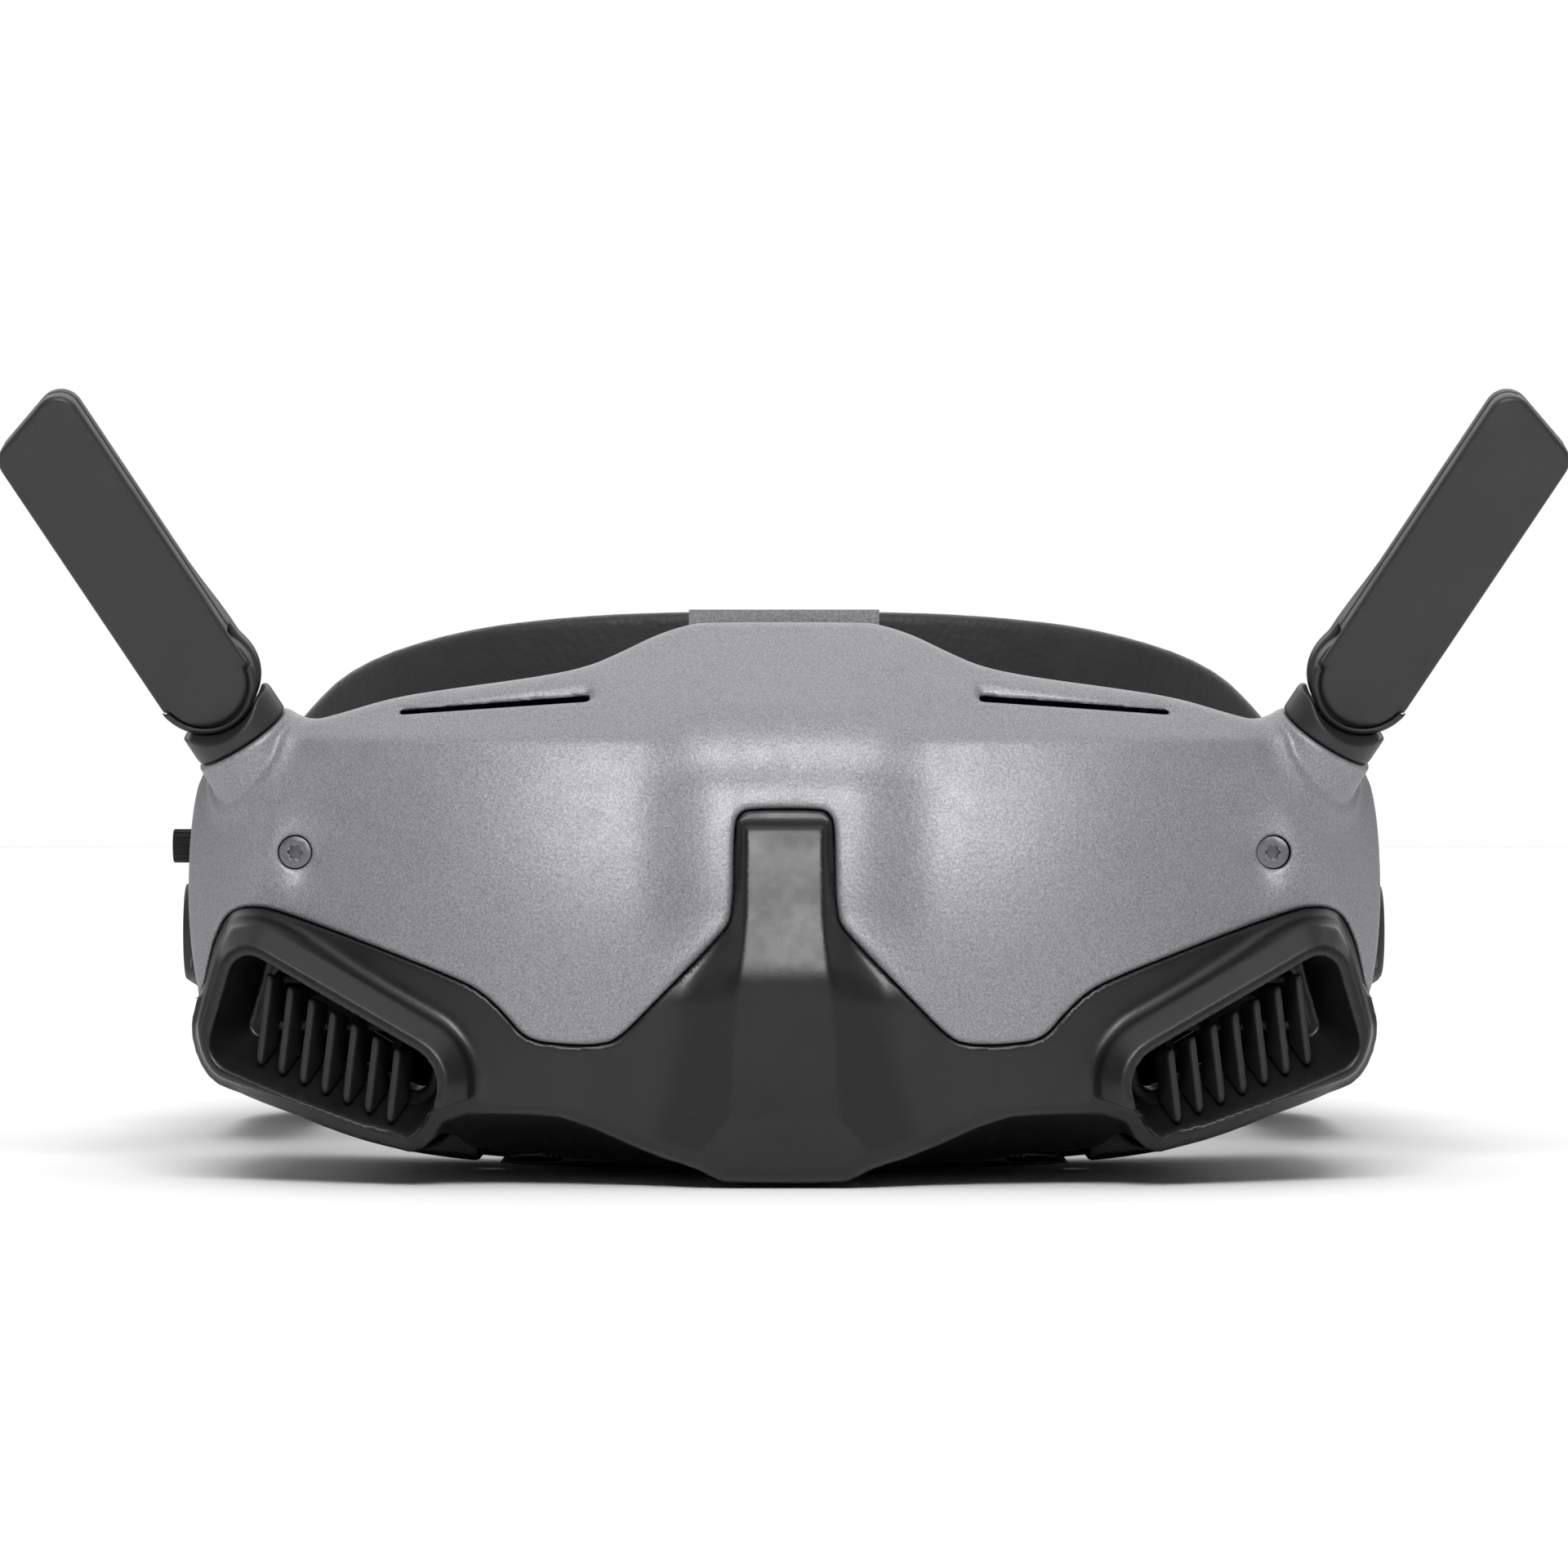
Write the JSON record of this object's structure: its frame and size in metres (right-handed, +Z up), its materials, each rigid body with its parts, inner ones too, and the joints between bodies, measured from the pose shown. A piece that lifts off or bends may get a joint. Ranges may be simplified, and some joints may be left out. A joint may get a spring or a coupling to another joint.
{
  "type": "fpv goggles",
  "caption": "Head-worn video goggles with sculpted grey front cover, fold-down antennas, sliding eyepieces, air intakes, face cushion and battery headband.",
  "frame": {"origin": "on the surface the goggles stand on, under the centre of the whole object's bounding box", "axes": "+Z up, the goggles look along -Y, +Y runs back to the battery at the rear of the head, +X is the wearer's left"},
  "size_m": [0.2022, 0.2784, 0.102],
  "materials": {
    "cover_paint": "satin metallic grey paint with a fine leather grain",
    "dark_plastic": "matt black moulded, fine spark texture",
    "grille_plastic": "matt black",
    "screw_steel": "dark plated six-lobe screws",
    "cushion_leather": "soft synthetic leather over foam, stitched seam",
    "soft_rubber": "soft black rubber",
    "bare_metal": "bare plated metal",
    "board_green": "solder-masked board",
    "lens_glass": "coated clear lens",
    "display_black": "dark glossy display",
    "antenna_plastic": "matt dark grey moulded",
    "copper": "copper-clad antenna board",
    "button_plastic": "matt black keys",
    "band_plastic": "matt black moulded, fine texture",
    "battery_wrap": "shrink-wrapped cells"
  },
  "bodies": {
    "goggles": {"front_cover": "cover_paint", "lower_frame": "dark_plastic", "vent_grille_left": "grille_plastic", "vent_grille_right": "grille_plastic", "cover_screws": "screw_steel", "top_screens": "grille_plastic", "rear_housing": "dark_plastic", "strap_loop": "dark_plastic", "lens_panel": "dark_plastic", "cushion_frame": "dark_plastic", "face_cushion": "cushion_leather", "nose_flap": "soft_rubber", "guide_rods": "bare_metal", "main_board": "board_green", "heat_sink": "bare_metal", "eye_sensor": "dark_plastic", "band_pins": "bare_metal", "usb_socket": "bare_metal", "card_slot": "bare_metal", "audio_socket": "bare_metal", "fan_frame_left": "grille_plastic", "fan_frame_right": "grille_plastic"},
    "fan_left": {"fan_rotor_left": "grille_plastic"},
    "eyepiece_left": {"barrel_left": "dark_plastic", "lens_left": "lens_glass", "display_left": "display_black", "ipd_grip_left": "dark_plastic"},
    "antenna_base_left": {"antenna_neck_left": "antenna_plastic"},
    "antenna_left": {"antenna_face_left": "antenna_plastic", "antenna_back_left": "antenna_plastic", "antenna_element_left": "copper", "antenna_pin_left": "bare_metal"},
    "fan_right": {"fan_rotor_right": "grille_plastic"},
    "eyepiece_right": {"barrel_right": "dark_plastic", "lens_right": "lens_glass", "display_right": "display_black", "ipd_grip_right": "dark_plastic"},
    "antenna_base_right": {"antenna_neck_right": "antenna_plastic"},
    "antenna_right": {"antenna_face_right": "antenna_plastic", "antenna_back_right": "antenna_plastic", "antenna_element_right": "copper", "antenna_pin_right": "bare_metal"},
    "stick_base": {"joystick_base": "button_plastic"},
    "stick_gimbal": {"joystick_gimbal": "bare_metal"},
    "stick": {"joystick_cap": "soft_rubber"},
    "back_key": {"back_button": "button_plastic"},
    "record_key": {"record_button": "button_plastic"},
    "link_key": {"link_button": "button_plastic"},
    "band": {"band_arm_left": "band_plastic", "band_arm_right": "band_plastic"},
    "rear_unit": {"band_outer_shell": "band_plastic", "band_inner_shell": "band_plastic", "rear_pad": "cushion_leather", "battery_left": "battery_wrap", "battery_right": "battery_wrap", "charge_socket": "bare_metal"},
    "power_key": {"power_button": "button_plastic"}
  },
  "joints": [
    {"name": "antenna_swivel_left", "type": "hinge", "parent": "goggles", "child": "antenna_base_left", "pos_m": [-0.0704, -0.10823, 0.0569], "axis": [-0.5285, -0.2419, 0.8138], "range_deg": [-80, 80]},
    {"name": "antenna_fold_left", "type": "hinge", "parent": "antenna_base_left", "child": "antenna_left", "pos_m": [-0.07526, -0.11046, 0.06439], "axis": [0.0455, 0.9491, 0.3117], "range_deg": [-50, 65]},
    {"name": "eye_slide_left", "type": "slide", "parent": "goggles", "child": "eyepiece_left", "axis": [-1, 0, 0], "range_m": [0, 0.008]},
    {"name": "fan_spin_left", "type": "hinge", "parent": "goggles", "child": "fan_left", "pos_m": [-0.0585, -0.11123, 0.0208], "axis": [0, 1, 0], "continuous": true},
    {"name": "antenna_swivel_right", "type": "hinge", "parent": "goggles", "child": "antenna_base_right", "pos_m": [0.0704, -0.10823, 0.0569], "axis": [-0.5285, 0.2419, -0.8138], "range_deg": [-80, 80]},
    {"name": "antenna_fold_right", "type": "hinge", "parent": "antenna_base_right", "child": "antenna_right", "pos_m": [0.07526, -0.11046, 0.06439], "axis": [0.0455, -0.9491, -0.3117], "range_deg": [-50, 65]},
    {"name": "eye_slide_right", "type": "slide", "parent": "goggles", "child": "eyepiece_right", "axis": [1, 0, 0], "range_m": [0, 0.008]},
    {"name": "fan_spin_right", "type": "hinge", "parent": "goggles", "child": "fan_right", "pos_m": [0.0585, -0.11123, 0.0208], "axis": [0, 1, 0], "continuous": true},
    {"name": "stick_press", "type": "slide", "parent": "goggles", "child": "stick_base", "axis": [1, 0, 0], "range_m": [0, 0.0004], "stiffness_N_per_m": 900},
    {"name": "stick_tilt_up_down", "type": "hinge", "parent": "stick_base", "child": "stick_gimbal", "pos_m": [-0.0743, -0.07883, 0.0425], "axis": [0, 1, 0], "range_deg": [-6, 6], "stiffness_Nm_per_rad": 0.02},
    {"name": "stick_tilt_fore_aft", "type": "hinge", "parent": "stick_gimbal", "child": "stick", "pos_m": [-0.0743, -0.07883, 0.0425], "axis": [0, 0, 1], "range_deg": [-6, 6], "stiffness_Nm_per_rad": 0.02},
    {"name": "back_press", "type": "slide", "parent": "goggles", "child": "back_key", "axis": [1, 0, 0], "range_m": [0, 0.0005], "stiffness_N_per_m": 700},
    {"name": "record_press", "type": "slide", "parent": "goggles", "child": "record_key", "axis": [1, 0, 0], "range_m": [0, 0.0005], "stiffness_N_per_m": 700},
    {"name": "link_press", "type": "slide", "parent": "goggles", "child": "link_key", "axis": [1, 0, 0], "range_m": [0, 0.0005], "stiffness_N_per_m": 700},
    {"name": "band_pivot", "type": "hinge", "parent": "goggles", "child": "band", "pos_m": [0, -0.06123, 0.0307], "axis": [1, 0, 0], "range_deg": [-8, 20]},
    {"name": "band_fit", "type": "slide", "parent": "band", "child": "rear_unit", "axis": [0, 0.9969, -0.0788], "range_m": [-0.018, 0.018]},
    {"name": "power_press", "type": "slide", "parent": "rear_unit", "child": "power_key", "axis": [0, -0.9969, 0.0788], "range_m": [0, 0.0006], "stiffness_N_per_m": 700}
  ]
}
